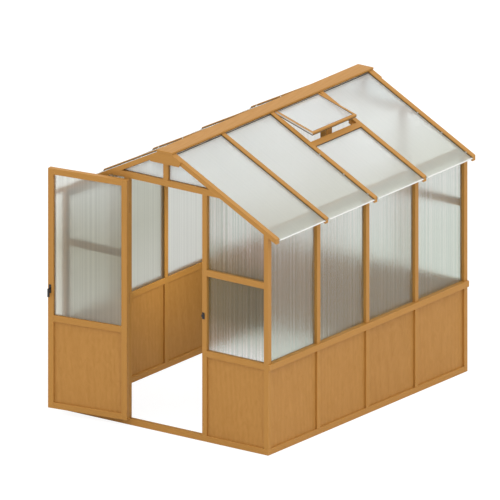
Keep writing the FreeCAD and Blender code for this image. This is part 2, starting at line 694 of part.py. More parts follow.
# Door leaf
DOOR_DEPTH = ("front_face", "door_inner")
DOOR_HEIGHT = ("door_base", "door_top")
DOOR_WITHIN = ("door_left + stile_width", "door_right - stile_width")
door_middle = "front_face + door_thickness / 2"
DOOR_RAILS = {
    "top": ("door_top - stile_width", "door_top"),
    "middle": ("door_middle_base", "door_middle_top"),
    "bottom": ("door_base", "door_base + stile_width"),
}
sheets = Sheets()
sheet_width = grow(DOOR_WITHIN, "groove_depth")
glazed = grow(("door_middle_top", "door_top - stile_width"), "groove_depth")
panelled = grow(("door_base + stile_width", "door_middle_base"), "groove_depth")
door_pane = sheets.sheet(sheet_width, around(door_middle, "pane_thickness"), glazed)
door_panel = sheets.sheet(sheet_width, around(door_middle, "panel_thickness"), panelled)
door_room = sheets.room()
SPINDLE = {"x": "handle_x", "z": "handle_height"}
spindle_hole = rod("Y", grow(DOOR_DEPTH, "timber"), "spindle_radius + spindle_room", **SPINDLE)
hinge_stile = block(("door_left", DOOR_WITHIN[0]), DOOR_DEPTH, DOOR_HEIGHT)
latch_stile = block((DOOR_WITHIN[1], "door_right"), DOOR_DEPTH, DOOR_HEIGHT)
door_swing("door_hinge_stile", cut(hinge_stile, door_room))
door_swing("door_latch_stile", cut(latch_stile, door_room, spindle_hole))
for name, height in DOOR_RAILS.items():
    door_swing(f"door_{name}_rail", cut(block(DOOR_WITHIN, DOOR_DEPTH, height), door_room))
door_swing("door_pane", door_pane)
door_swing("door_panel", door_panel)

# Door hinges, planted on the outer faces of the jamb and the stile
DOOR_HINGE_STARTS = (
    "door_base + hinge_from_end",
    "(door_base + door_top - hinge_length) / 2",
    "door_top - hinge_from_end - hinge_length",
)
DOOR_AXIS = {"x": "door_axis_x", "y": "door_axis_y"}
leaf_depth = ("front_face - hinge_plate", "front_face")
web_depth = ("front_face - hinge_plate", "front_face - hinge_plate / 4")
fixed_edge = "door_axis_x - knuckle_room"
moving_edge = "door_axis_x + knuckle_room"
fixed_leaves = []
moving_leaves = []
door_pins = []
for start in DOOR_HINGE_STARTS:
    whole = (start, f"{start} + hinge_length")
    bore = rod("Z", grow(whole, "timber"), "hinge_pin_radius + pin_gap", **DOOR_AXIS)
    first, middle, last = knuckles(start, "hinge_length")
    fixed = [block((f"{fixed_edge} - hinge_width", fixed_edge), leaf_depth, whole)]
    for stretch in (first, last):
        fixed.append(block((f"{fixed_edge} - hinge_plate", "door_axis_x"), web_depth, stretch))
        fixed.append(rod("Z", stretch, "knuckle_radius", **DOOR_AXIS))
    fixed_leaves.append(cut(fuse(fixed), bore))
    moving = [
        block((moving_edge, f"{moving_edge} + hinge_width"), leaf_depth, whole),
        block(("door_axis_x", f"{moving_edge} + hinge_plate"), web_depth, middle),
        rod("Z", middle, "knuckle_radius", **DOOR_AXIS),
    ]
    moving_leaves.append(cut(fuse(moving), bore))
    head = (whole[1], f"{whole[1]} + pin_head_height")
    door_pins.append(fuse([
        rod("Z", (start, head[1]), "hinge_pin_radius", **DOOR_AXIS),
        rod("Z", head, "pin_head_radius", **DOOR_AXIS),
    ]))
node("door_hinge_fixed_leaves", group(fixed_leaves))
door_swing("door_hinge_moving_leaves", group(moving_leaves))
node("door_hinge_pins", group(door_pins))

# Door handle: a plate on each face, two levers and the spindle between them
plate_width = around("handle_x", "handle_plate_width")
plate_height = around("handle_height", "handle_plate_height")
plate_bore = rod("Y", grow(DOOR_DEPTH, "timber"), "spindle_radius + pin_gap", **SPINDLE)
PLATE_DEPTHS = (("door_inner", "inner_plate"), ("outer_plate", "front_face"))
plates = [cut(block(plate_width, depth, plate_height), plate_bore) for depth in PLATE_DEPTHS]
door_swing("handle_plates", group(plates))

inner_lever = fuse([
    rod("Y", ("inner_plate + fit_gap", "grip_back"), "hub_radius", **SPINDLE),
    block(
        around("handle_x", "grip_width"),
        ("grip_face", "grip_back"),
        ("handle_height - grip_length", "handle_height"),
    ),
])
spindle_socket = rod("Y", ("door_inner", "grip_face"), "spindle_radius + pin_gap", **SPINDLE)
door_swing("handle_inner_lever", cut(inner_lever, spindle_socket))
outer_lever = fuse([
    rod("Y", ("arm_front", "outer_plate - fit_gap"), "hub_radius", **SPINDLE),
    block(
        around("handle_x", "arm_width"),
        ("arm_front", "arm_face"),
        ("handle_height - arm_length", "handle_height"),
    ),
    rod("Y", ("arm_face", "grip_face"), "spindle_radius", **SPINDLE),
])
door_swing("handle_outer_lever", outer_lever)

# Keeper on the latch jamb, open below for the outer lever's arm
keeper_width = ("keeper_left", "keeper_left + keeper_width")
keeper_back = ("front_face - keeper_sheet", "front_face")
keeper_depth = ("keeper_lip - keeper_sheet", "front_face")
lip_depth = ("keeper_lip - keeper_sheet", "keeper_lip")
roof_top = "keeper_roof + keeper_sheet"
keeper = fuse([
    block(keeper_width, keeper_back, around("handle_height", "keeper_height")),
    block(keeper_width, keeper_depth, ("keeper_roof", roof_top)),
    block(keeper_width, lip_depth, ("keeper_base", roof_top)),
])
node("door_keeper", keeper)

doc.recompute()

# Nothing is written unless every piece came out whole
for piece in doc.Objects:
    if {"Invalid", "Error"} & set(piece.State):
        raise RuntimeError(f"{piece.Name} {piece.Label} failed: {piece.State}")
for piece in NODES:
    if piece.Shape.isNull() or not piece.Shape.isValid() or not piece.Shape.Solids:
        raise RuntimeError(f"{piece.Label} has no valid shape")

os.makedirs("parts", exist_ok=True)
for piece in NODES:
    piece.Shape.exportStep(os.path.join("parts", f"{piece.Label}.step"))
    print(f"{piece.Label}: {len(piece.Shape.Solids)} solids, {piece.Shape.Volume / 1e6:.3f} dm3")
print(f"{len(NODES)} sub-parts")
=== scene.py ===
# %% [markdown]
# # A wooden greenhouse with twin-wall panes
#
# The real object is a frame of planed softwood, with thin wood panels in its lower third and
# translucent fluted sheet above them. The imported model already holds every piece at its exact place,
# so no piece here is placed by eye. This lesson loads that model as a fixed frame and gives each
# piece the surface that the real one has.

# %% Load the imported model
import json

import bmesh
import bpy
import numpy as np
from mathutils import Matrix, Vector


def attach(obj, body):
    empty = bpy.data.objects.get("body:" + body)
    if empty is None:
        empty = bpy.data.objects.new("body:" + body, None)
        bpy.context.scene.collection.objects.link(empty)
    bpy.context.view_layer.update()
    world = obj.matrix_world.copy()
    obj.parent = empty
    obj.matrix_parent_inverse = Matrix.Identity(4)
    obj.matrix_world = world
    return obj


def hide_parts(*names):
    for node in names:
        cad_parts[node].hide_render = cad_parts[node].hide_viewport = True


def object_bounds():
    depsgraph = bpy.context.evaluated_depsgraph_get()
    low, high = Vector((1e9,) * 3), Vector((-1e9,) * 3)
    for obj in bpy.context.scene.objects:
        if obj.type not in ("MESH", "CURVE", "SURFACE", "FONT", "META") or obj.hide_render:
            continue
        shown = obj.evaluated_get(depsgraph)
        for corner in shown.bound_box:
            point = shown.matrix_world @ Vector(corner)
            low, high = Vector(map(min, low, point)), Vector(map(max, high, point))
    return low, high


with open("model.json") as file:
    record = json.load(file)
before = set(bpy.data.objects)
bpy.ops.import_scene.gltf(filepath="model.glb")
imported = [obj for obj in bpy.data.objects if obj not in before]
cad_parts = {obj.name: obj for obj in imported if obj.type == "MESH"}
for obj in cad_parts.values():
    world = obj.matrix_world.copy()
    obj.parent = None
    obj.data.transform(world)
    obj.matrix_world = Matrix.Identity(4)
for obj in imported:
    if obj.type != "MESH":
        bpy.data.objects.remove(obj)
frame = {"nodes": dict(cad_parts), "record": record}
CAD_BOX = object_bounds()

RECORD = frame["record"]
BODY_OF = {node: body for body, nodes in RECORD["behaviour"]["bodies"].items() for node in nodes}
SLOT_OF = {part["node"]: part["material_slot"] for part in RECORD["subparts"]}
MM = 0.001

# %% [markdown]
# ## The camera
#
# Upright edges stay parallel in the picture and the far bays are as wide as the near ones, so it has
# no perspective. A camera with a long lens far away would come close to that. An orthographic camera
# is exact, and needs only an angle, a width and the point that it looks at. That point is counted
# rightward and upward in the picture, from the front of the threshold.

# %% Camera
AZIMUTH = np.radians(36)
ELEVATION = np.radians(18)
PICTURE_SIDE = 3.597
THRESHOLD_FRONT = np.array((0, -0.02, 0))
CENTRE_RIGHT = 0.609
CENTRE_UP = 1.315
CAMERA_DISTANCE = 9


def stand(item, right, up, back, place):
    """Put an object at a place in the scene, with its own X, Y and Z leading right, up and back."""
    pose = np.eye(4)
    pose[:3] = np.column_stack((right, up, back, place))
    item.matrix_world = Matrix(pose.tolist())
    bpy.context.scene.collection.objects.link(item)


toward = np.array((
    np.sin(AZIMUTH) * np.cos(ELEVATION),
    -np.cos(AZIMUTH) * np.cos(ELEVATION),
    np.sin(ELEVATION),
))
rightward = np.array((np.cos(AZIMUTH), np.sin(AZIMUTH), 0))
upward = np.cross(toward, rightward)
centre = THRESHOLD_FRONT + CENTRE_RIGHT * rightward + CENTRE_UP * upward

camera = bpy.data.objects.new("camera", bpy.data.cameras.new("camera"))
camera.data.type = "ORTHO"
camera.data.ortho_scale = PICTURE_SIDE
stand(camera, rightward, upward, toward, centre + CAMERA_DISTANCE * toward)
bpy.context.scene.camera = camera
bpy.context.scene.view_settings.view_transform = "Standard"
print("camera looks at", np.round(centre, 3))

# %% [markdown]
# ## Helpers for shaders
#
# A finish is a tree of small nodes. Made one by one, each would take several lines. One helper
# empties a tree, and another adds a node and fills its inputs, with a plain value or with a link from
# another node. Three more do a step of arithmetic, mix two colours and mix two surfaces.

# %% Shader helpers
# Numbers of the colour sockets on a mix node, because it has other sockets with the same names.
MIX_SHARE, MIX_FIRST, MIX_SECOND = 0, 6, 7
MIX_RESULT = 2


def empty_tree(owner):
    """The node tree of a material or world, with nothing in it."""
    owner.use_nodes = True
    owner.node_tree.nodes.clear()
    return owner.node_tree


def add(tree, kind, inputs=(), **options):
    """Add a node to a tree: an input that is a socket is linked, and any other is set."""
    node = tree.nodes.new(f"ShaderNode{kind}")
    for name, value in options.items():
        setattr(node, name, value)
    for name, value in dict(inputs).items():
        if isinstance(value, bpy.types.NodeSocket):
            tree.links.new(value, node.inputs[name])
        else:
            node.inputs[name].default_value = value
    return node


def calculate(tree, operation, *values):
    """One step of arithmetic on sockets and numbers."""
    return add(tree, "Math", enumerate(values), operation=operation).outputs[0]


def blend(tree, share, first, second, how="MIX"):
    """A colour that goes from the first to the second as the share goes from 0 to 1.

    Where how says so, it goes from the first to the product of both.
    """
    inputs = {MIX_SHARE: share, MIX_FIRST: first, MIX_SECOND: second}
    return add(tree, "Mix", inputs, data_type="RGBA", blend_type=how).outputs[MIX_RESULT]


def blend_surfaces(tree, share, first, second):
    """A surface that goes from the first to the second as the share goes from 0 to 1."""
    return add(tree, "MixShader", enumerate((share, first.outputs[0], second.outputs[0])))


print("shader helpers ready")

# %% [markdown]
# ## Sky
#
# The picture is a cut-out on white, with soft light from all round and more from above. Lamps
# overhead would show as bright spots in the panes. A sky that grows brighter towards the zenith gives
# the same light without spots, and leans a little to the right. Rays from the camera, from a shiny
# surface or through a pane meet plain white instead of the sky.

# %% Sky
SKY_HORIZON = 0.66
SKY_ZENITH = 1.62
SKY_LEAN = (0.16, 0, 1)
WHITE = (1, 1, 1, 1)
# A ray's count of the dull surfaces it has met is below this as long as it has met none.
NONE_MET = 0.5


def looked_at(tree):
    """1 for a ray from the camera, a shiny surface or a pane that has met nothing dull, and else 0."""
    path = add(tree, "LightPath").outputs
    seen = calculate(tree, "MAXIMUM", path["Is Camera Ray"], path["Is Glossy Ray"])
    seen = calculate(tree, "MAXIMUM", seen, path["Is Transmission Ray"])
    fresh = calculate(tree, "LESS_THAN", path["Diffuse Depth"], NONE_MET)
    return calculate(tree, "MULTIPLY", seen, fresh)


sky = bpy.data.worlds.new("soft_sky")
bpy.context.scene.world = sky
tree = empty_tree(sky)
direction = add(tree, "TexCoord").outputs["Generated"]
height = add(tree, "VectorMath", enumerate((direction, SKY_LEAN)), operation="DOT_PRODUCT")
brightness = add(tree, "MapRange", {
    "Value": height.outputs["Value"],
    "To Min": SKY_HORIZON,
    "To Max": SKY_ZENITH,
})
light = add(tree, "Background", {"Color": WHITE, "Strength": brightness.outputs["Result"]})
white = add(tree, "Background", {"Color": WHITE, "Strength": 1})
backdrop = blend_surfaces(tree, looked_at(tree), light, white)
add(tree, "OutputWorld", {"Surface": backdrop.outputs[0]})
print("sky from", SKY_HORIZON, "to", SKY_ZENITH)

# %% [markdown]
# ## A fill lamp inside
#
# Daylight fills a real greenhouse through its clear sheet. A rough see-through finish passes less of
# it on to the boards inside. A brighter sky would make up for that, but would bleach the outside too.
# So a wide soft lamp between the walls shines onto the inside of the left wall, near the doorway, and
# isn't seen itself.

# %% Fill lamp
FILL_PLACE = np.array((-0.15, 1.05, 1.15))
FILL_AIM = np.array((-0.9, 1.3, 0.65))
FILL_SIDE = 0.7
FILL_WATTS = 3
FILL_SPREAD = np.radians(110)
UP = np.array((0.0, 0.0, 1.0))

fill = bpy.data.lights.new("fill", "AREA")
fill.size = FILL_SIDE
fill.energy = FILL_WATTS
fill.spread = FILL_SPREAD
fill_lamp = bpy.data.objects.new("fill", fill)
for sight in ("visible_camera", "visible_glossy", "visible_transmission"):
    setattr(fill_lamp, sight, False)
fill_back = FILL_PLACE - FILL_AIM
fill_back /= np.linalg.norm(fill_back)
fill_side = np.cross(UP, fill_back)
fill_side /= np.linalg.norm(fill_side)
stand(fill_lamp, fill_side, np.cross(fill_back, fill_side), fill_back, FILL_PLACE)
print("fill lamp of", FILL_WATTS, "W")

# %% [markdown]
# ## Surfaces from grids
#
# Most pieces that are new here have one section along their whole length: a sheet, a bead, a cap, a
# clip or a seal. Boxes pushed into one another would leave faces inside. A grid of points whose rows
# are copies of the section gives one closed skin, and all its points come from a few sums on whole
# arrays. The helpers number the faces of such a grid, close its ends and put several shells together.

# %% Surfaces from grids
SHARP = np.radians(35)
TOUCH = 0.001 * MM


def grid_faces(rows, columns):
    """Corner numbers of the four-sided faces between neighbouring rows and columns of a grid of points.

    The last column meets the first, as on a tube.
    """
    row = np.arange(rows - 1)[:, None]
    column = np.arange(columns)[None, :]
    after = (column + 1) % columns
    near = row * columns + column, row * columns + after
    far = (row + 1) * columns + after, (row + 1) * columns + column
    return np.stack(near + far, axis=-1).reshape(-1, 4).tolist()


def tube(grid):
    """A closed shell from a grid whose rows are rings: faces round the rings, and a cap on each end."""
    rows, columns = grid.shape[:2]
    first = np.arange(columns)
    caps = [first[::-1].tolist(), (first + (rows - 1) * columns).tolist()]
    return grid.reshape(-1, 3), grid_faces(rows, columns) + caps


def together(shells):
    """Several shells as one list of points and one of faces."""
    starts = np.cumsum([0] + [len(points) for points, faces in shells])
    faces = [
        [corner + start for corner in face]
        for start, (points, shell) in zip(starts.tolist(), shells)
        for face in shell
    ]
    return np.concatenate([points for points, faces in shells]), faces


print("grid helpers ready")

# %% [markdown]
# ## Meshes and pieces
#
# A mesh can carry numbers on its points, which its finish reads: where a board lies in its trunk, or
# how stained a sheet is. The mesh maker stores them, joins points that touch, and then turns all
# faces outwards. A piece stays at the origin, because its place is in its mesh, and rides on one
# body.

# %% Meshes and pieces


def store(mesh, label, numbers, domain="POINT"):
    """Keep numbers on a mesh's points or edges under a label: one for each, or three from a table."""
    kind, field = ("FLOAT_VECTOR", "vector") if numbers.ndim > 1 else ("FLOAT", "value")
    attribute = mesh.attributes.new(label, kind, domain)
    attribute.data.foreach_set(field, numbers.astype(np.float32).ravel())


def make_mesh(name, points, faces, finish, values=()):
    """A mesh from points and faces, with numbers for each point that its finish can read."""
    mesh = bpy.data.meshes.new(name)
    mesh.from_pydata(points.tolist(), [], faces)
    for label, numbers in dict(values).items():
        store(mesh, label, numbers)
    shell = bmesh.new()
    shell.from_mesh(mesh)
    bmesh.ops.remove_doubles(shell, verts=shell.verts, dist=TOUCH)
    bmesh.ops.dissolve_degenerate(shell, edges=shell.edges, dist=TOUCH)
    bmesh.ops.recalc_face_normals(shell, faces=shell.faces)
    shell.to_mesh(mesh)
    shell.free()
    mesh.shade_smooth()
    mesh.set_sharp_from_angle(angle=SHARP)
    mesh.materials.append(finish)
    return mesh


def show(mesh, body):
    """An object at the origin that rides on a body and takes its finish from a slot."""
    piece = bpy.data.objects.new(mesh.name, mesh)
    bpy.context.scene.collection.objects.link(piece)
    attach(piece, body)
    return piece


print("mesh helpers ready")

# %% [markdown]
# ## Ground
#
# The house stands on plain white with hardly a shadow. A white disc alone would come out grey,
# because it only gives back what the sky sends. So this disc answers three kinds of ray. Rays that
# gather light for dull surfaces meet a plain pale ground, which lights the house from below. Rays
# straight from the camera meet one that mostly glows, with a share of shading for the faint shadow.
# Rays through a pane or off a shiny surface meet one that glows less and is shaded more, because the
# house shades its own floor.

# %% Ground
GROUND_RADIUS = 30
GROUND_SIDES = 96
GROUND_DEPTH = 1 * MM
GROUND_ALBEDO = 0.80
GROUND_GLOW = {"direct": 0.91, "through": 0.48}
GROUND_SHADE = {"direct": 0.18, "through": 0.45}


def dull(tree, level):
    """A dull grey surface that gives back one level of the light on it."""
    return add(tree, "BsdfDiffuse", {"Color": (level, level, level, 1)})


def pale_ground(tree, view):
    """Ground that glows and is shaded in the shares of one view."""
    glow = add(tree, "Emission", {"Color": WHITE, "Strength": GROUND_GLOW[view]})
    shade = dull(tree, GROUND_SHADE[view])
    return add(tree, "AddShader", enumerate((glow.outputs[0], shade.outputs[0])))


ground_finish = bpy.data.materials.new("pale_ground")
tree = empty_tree(ground_finish)
surface = blend_surfaces(tree, looked_at(tree), dull(tree, GROUND_ALBEDO), pale_ground(tree, "through"))
camera_ray = add(tree, "LightPath").outputs["Is Camera Ray"]
surface = blend_surfaces(tree, camera_ray, surface, pale_ground(tree, "direct"))
add(tree, "OutputMaterial", {"Surface": surface.outputs[0]})

angle = np.linspace(0, 2 * np.pi, GROUND_SIDES, endpoint=False)
rim = np.stack((np.cos(angle), np.sin(angle), np.zeros(GROUND_SIDES)), axis=-1) * GROUND_RADIUS
rim[:, 2] = -GROUND_DEPTH
disc = make_mesh("ground", rim, [list(range(GROUND_SIDES))], ground_finish)
ground = bpy.data.objects.new("ground", disc)
bpy.context.scene.collection.objects.link(ground)
print("ground", 2 * GROUND_RADIUS, "m across")

# %% [markdown]
# ## Wood
#
# The timber is pale softwood under a honey-coloured stain, planed and eased at its edges. A board is
# cut from a round trunk, so it shows slightly tilted rings, long straight streaks and fine fibres.
# The panels are wide and thin, with fewer rings and a broad figure that swirls. A picture of wood
# would stretch and repeat. Rings and noise worked out from each board's own directions do not,
# because every board carries three numbers per corner: how far along, across and through the trunk it
# lies.

# %% Wood finish
RING_SQUEEZE = (0.1, 1, 1)
RING_TILT = (0, 0.5, 0.2)
RING_WARP = {"Distortion": 5, "Detail": 2, "Detail Scale": 0.25}
# A wave node of scale 1 repeats after this length.
WAVE_PERIOD = 2 * np.pi / 20
FIBRE = {"pitch": (0.05, 0.0016, 0.0016), "detail": 2, "swirl": 0}
GRAIN_RELIEF = {"Distance": 0.1 * MM, "Strength": 0.5}
WOOD_SHEEN = 0.25


def stretched_noise(tree, place, pitch, detail, swirl):
    """Noise whose blotches are one pitch long in each of the board's directions, and may be swirled."""
    spread = add(tree, "Mapping", {"Vector": place, "Scale": [1 / step for step in pitch]})
    inputs = {"Vector": spread.outputs[0], "Scale": 1, "Detail": detail, "Distortion": swirl}
    return add(tree, "TexNoise", inputs).outputs["Fac"]


def wood_finish(name, tones, ring_pitch, figure, shares, roughness):
    """Stained softwood: a sum of rings, figure and fibres leads from a dark to a pale tone."""
    finish = bpy.data.materials.new(name)
    tree = empty_tree(finish)
    place = add(tree, "Attribute", attribute_name="grain").outputs["Vector"]
    tone = add(tree, "Attribute", attribute_name="tone").outputs["Fac"]
    trunk = add(tree, "Mapping", {"Vector": place, "Scale": RING_SQUEEZE, "Rotation": RING_TILT})
    ring_inputs = {"Vector": trunk.outputs[0], "Scale": WAVE_PERIOD / ring_pitch} | RING_WARP
    rings = add(tree, "TexWave", ring_inputs, wave_type="RINGS", rings_direction="X").outputs["Fac"]
    broad = stretched_noise(tree, place, **figure)
    fine = stretched_noise(tree, place, **FIBRE)
    mixed = calculate(tree, "MULTIPLY", rings, shares["rings"])
    mixed = calculate(tree, "MULTIPLY_ADD", broad, shares["figure"], mixed)
    mixed = calculate(tree, "MULTIPLY_ADD", fine, shares["fibre"], mixed)
    stain = blend(tree, mixed, *tones)
    toned = add(tree, "HueSaturation", {"Color": stain, "Value": calculate(tree, "ADD", tone, 1)})
    sheen = add(tree, "MapRange", {"Value": mixed, "To Min": roughness[1], "To Max": roughness[0]})
    relief = add(tree, "Bump", {"Height": mixed} | GRAIN_RELIEF)
    surface = add(tree, "BsdfPrincipled", {
        "Base Color": toned.outputs["Color"],
        "Roughness": sheen.outputs["Result"],
        "Specular IOR Level": WOOD_SHEEN,
        "Normal": relief.outputs["Normal"],
    })
    add(tree, "OutputMaterial", {"Surface": surface.outputs[0]})
    return finish


print("wood finish ready")

# %% [markdown]
# ## Three kinds of wood
#
# Stain wears thin where hands and sandpaper reach, so the eased edges are a little paler and smoother
# than the faces of the same board. A mask could find the edges in one finish. A finish of their own
# is simpler, because the easing can give its new faces another finish. The panels are the third kind.

# %% Three kinds of wood
TIMBER_GRAIN = {
    "ring_pitch": 9 * MM,
    "figure": {"pitch": (0.5, 0.014, 0.014), "detail": 3, "swirl": 0},
    "shares": {"rings": 0.2, "figure": 0.55, "fibre": 0.25},
}
PANEL_GRAIN = {
    "ring_pitch": 35 * MM,
    "figure": {"pitch": (0.10, 0.04, 0.04), "detail": 3, "swirl": 1.5},
    "shares": {"rings": 0.12, "figure": 0.76, "fibre": 0.12},
}
TIMBER_TONES = (0.410, 0.190, 0.036, 1), (0.505, 0.246, 0.056, 1)
ARRIS_TONES = (0.440, 0.208, 0.043, 1), (0.545, 0.270, 0.067, 1)
PANEL_TONES = (0.375, 0.170, 0.031, 1), (0.520, 0.255, 0.064, 1)

TIMBER = wood_finish("stained_timber", TIMBER_TONES, roughness=(0.44, 0.58), **TIMBER_GRAIN)
ARRIS = wood_finish("eased_edge", ARRIS_TONES, roughness=(0.40, 0.52), **TIMBER_GRAIN)
PANEL = wood_finish("stained_panel", PANEL_TONES, roughness=(0.46, 0.60), **PANEL_GRAIN)
print("wood:", TIMBER.name, ARRIS.name, PANEL.name)

# %% [markdown]
# ## Welded boards
#
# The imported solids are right, but come as loose triangles, and a finish or a bevel needs whole
# boards. Merging by distance inside a mesh would also join two lengths of rail that only meet end to
# end. Here the corners are joined by their rounded place, and the rails are told which of their
# lengths each corner belongs to.

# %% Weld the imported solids
WELD = 0.02 * MM
INSIDE = 0.1 * MM
SQUARE_ON = 0.99


def read(items, field, width, kind):
    """One field of all a mesh's points, edges or faces as an array."""
    values = np.empty(len(items) * width, kind)
    items.foreach_get(field, values)
    return values.reshape(-1, width) if width > 1 else values


def welded(node, butted=False):
    """Points and triangles of a CAD node with shared corners joined.

    With butted, lengths that meet end to end along Y are kept apart at the planes that two faces share.
    """
    mesh = frame["nodes"][node].data
    mesh.calc_loop_triangles()
    points = read(mesh.vertices, "co", 3, np.float32).astype(float)
    corners = points[read(mesh.loop_triangles, "vertices", 3, np.int32)]
    stretch = np.zeros(len(corners))
    if butted:
        facing = np.cross(corners[:, 1] - corners[:, 0], corners[:, 2] - corners[:, 0])
        facing = facing[:, 1] / np.maximum(np.linalg.norm(facing, axis=1), TOUCH**2)
        middle = corners[:, :, 1].mean(axis=1)
        plane = np.round(middle / WELD)
        joints = np.intersect1d(plane[facing > SQUARE_ON], plane[facing < -SQUARE_ON]) * WELD
        stretch = np.searchsorted(joints, middle - INSIDE * facing)
    rounded = np.round(corners.reshape(-1, 3) / WELD)
    keys = np.column_stack((rounded, np.repeat(stretch, 3))).astype(np.int64)
    _, first, number = np.unique(keys, axis=0, return_index=True, return_inverse=True)
    faces = number.reshape(-1, 3)
    whole = (faces[:, 0] != faces[:, 1]) & (faces[:, 1] != faces[:, 2]) & (faces[:, 2] != faces[:, 0])
    return corners.reshape(-1, 3)[first], faces[whole]


def islands(count, edges):
    """A number for each point that is the same for all points of one solid.

    Each point takes the lowest number among its neighbours until nothing changes.
    """
    label = np.arange(count)
    while True:
        lowest = label.copy()
        np.minimum.at(lowest, edges[:, 0], label[edges[:, 1]])
        np.minimum.at(lowest, edges[:, 1], label[edges[:, 0]])
        if np.array_equal(lowest, label):
            return np.unique(label, return_inverse=True)[1]
        label = lowest


print("front sill has", len(welded("front_sill")[0]), "corners")

# %% [markdown]
# ## Outer edges
#
# A planed board never has a knife edge: its long edges are eased by a pass of sandpaper. Grooves and
# housings inside it stay crisp, as a saw leaves them, so easing every edge would be wrong. An edge is
# on the outside where nothing of the board lies in front of either of its two faces.

# %% Outer edges
EDGE_TURN = np.cos(np.radians(25))
PROUD = 0.02 * MM


def outer_edges(mesh, label):
    """1 for each edge between two faces that have nothing of their solid in front of them, else 0.

    A face is on the outside where no point of its solid is further along its normal than the face is.
    """
    points = read(mesh.vertices, "co", 3, np.float32)
    normals = read(mesh.polygons, "normal", 3, np.float32)
    starts = read(mesh.polygons, "loop_start", 1, np.int32)
    corners = read(mesh.loops, "vertex_index", 1, np.int32)
    own = label[corners[starts]]
    ahead = normals @ points.T
    level = ahead[np.arange(len(starts)), corners[starts]]
    ahead[own[:, None] != label[None, :]] = -np.inf
    outside = ahead.max(axis=1) - level < PROUD
    face = np.repeat(np.arange(len(starts)), read(mesh.polygons, "loop_total", 1, np.int32))
    edge = read(mesh.loops, "edge_index", 1, np.int32)
    order = np.argsort(edge, kind="stable")
    every = np.arange(len(mesh.edges))
    one = face[order[np.searchsorted(edge[order], every, "left")]]
    other = face[order[np.searchsorted(edge[order], every, "right") - 1]]
    turned = (normals[one] * normals[other]).sum(axis=1) < EDGE_TURN
    return (outside[one] & outside[other] & turned).astype(np.float32)


print("edges that turn less than", round(np.degrees(np.arccos(EDGE_TURN))), "degrees stay as they are")

# %% [markdown]
# ## Grain of each board
#
# No two boards come from the same place in a trunk. One pattern in the room's directions would run
# across some boards and on from one to the next. So each board gets its own directions, a place in
# the trunk drawn by chance, and a tone a little lighter or darker than its neighbours'. The draws
# start from a fixed number, so they come out the same each time.

# %% Grain of each board
TONE_SPREAD = 0.014
# How far from the middle of the trunk a board may lie along, across and through it.
TRUNK_SPREAD = (9, 0.09, 0.09)
FIRST_DRAW = 20
chance = np.random.default_rng(FIRST_DRAW)


def grain_of(mesh, label, upright):
    """Each point's place along, across and through its board, and a tone that is the same all over it.

    The grain runs along the board's longest edge, or upwards for an upright panel.
    """
    points = read(mesh.vertices, "co", 3, np.float32).astype(float)
    ends = read(mesh.edges, "vertices", 2, np.int32)
    edge = points[ends[:, 1]] - points[ends[:, 0]]
    length = np.linalg.norm(edge, axis=1)
    place = np.empty_like(points)
    tone = np.empty(len(points))
    for board in range(label.max() + 1):
        mine = label == board
        longest = np.argmax(np.where(mine[ends[:, 0]], length, 0))
        along = UP if upright else edge[longest] / length[longest]
        across = np.cross(along, np.roll(along, 1))
        across /= np.linalg.norm(across)
        axes = np.stack((along, across, np.cross(along, across)))
        local = points[mine] @ axes.T
        place[mine] = local - local.mean(axis=0) + chance.uniform(-1, 1, 3) * TRUNK_SPREAD
        tone[mine] = chance.normal(0, TONE_SPREAD)
    return place, tone


print("boards vary in tone by", TONE_SPREAD)

# %% [markdown]
# ## Timber with eased edges
#
# The sticks of the frame are sawn, planed and sanded. Each welded board has its flat areas joined
# into single faces, and a small bevel then rounds its outer edges. The bevel could be worked out by
# hand, but a modifier that reads a weight from each edge does it for every board, and gives the new
# faces the finish of eased edges.

# %% Timber
FLAT = np.radians(0.5)
EASE_STEPS = 2
TIMBER_EASE = 1.8 * MM


def eased(node, finishes, ease, upright=False):
    """A welded copy of a CAD node with its grain worked out and its outer edges eased."""
    points, faces = welded(node, butted=node.endswith("dado_rail"))
    mesh = bpy.data.meshes.new(f"{node}_eased")
    mesh.from_pydata(points.tolist(), [], faces.tolist())
    shell = bmesh.new()
    shell.from_mesh(mesh)
    bmesh.ops.dissolve_limit(shell, angle_limit=FLAT, verts=shell.verts, edges=shell.edges)
    shell.to_mesh(mesh)
    shell.free()
    label = islands(len(mesh.vertices), read(mesh.edges, "vertices", 2, np.int32))
    place, tone = grain_of(mesh, label, upright)
    store(mesh, "grain", place)
    store(mesh, "tone", tone)
    store(mesh, "bevel_weight_edge", outer_edges(mesh, label), "EDGE")
    for finish in finishes:
        mesh.materials.append(finish)
    piece = show(mesh, BODY_OF[node])
    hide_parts(node)
    bevel = piece.modifiers.new("eased_edges", "BEVEL")
    bevel.width = ease
    bevel.segments = EASE_STEPS
    bevel.limit_method = "WEIGHT"
    bevel.use_clamp_overlap = False
    bevel.material = len(finishes) - 1


timbers = [node for node, slot in SLOT_OF.items() if slot == "timber"]
for node in timbers:
    eased(node, (TIMBER, ARRIS), TIMBER_EASE)
print(len(timbers), "timber nodes eased by", TIMBER_EASE, "m")

# %% [markdown]
# ## Lower panels
#
# Each bay has one thin board of stained wood behind its rails, with upright grain. Its edges sit in
# grooves and are never seen, so they are hardly eased. What matters is that each panel shows another
# piece of the figure.

# %% Panels
PANEL_EASE = 0.3 * MM
panels = [node for node, slot in SLOT_OF.items() if slot == "panel"]
for node in panels:
    eased(node, (PANEL,), PANEL_EASE, upright=True)
print(len(panels), "panel nodes")
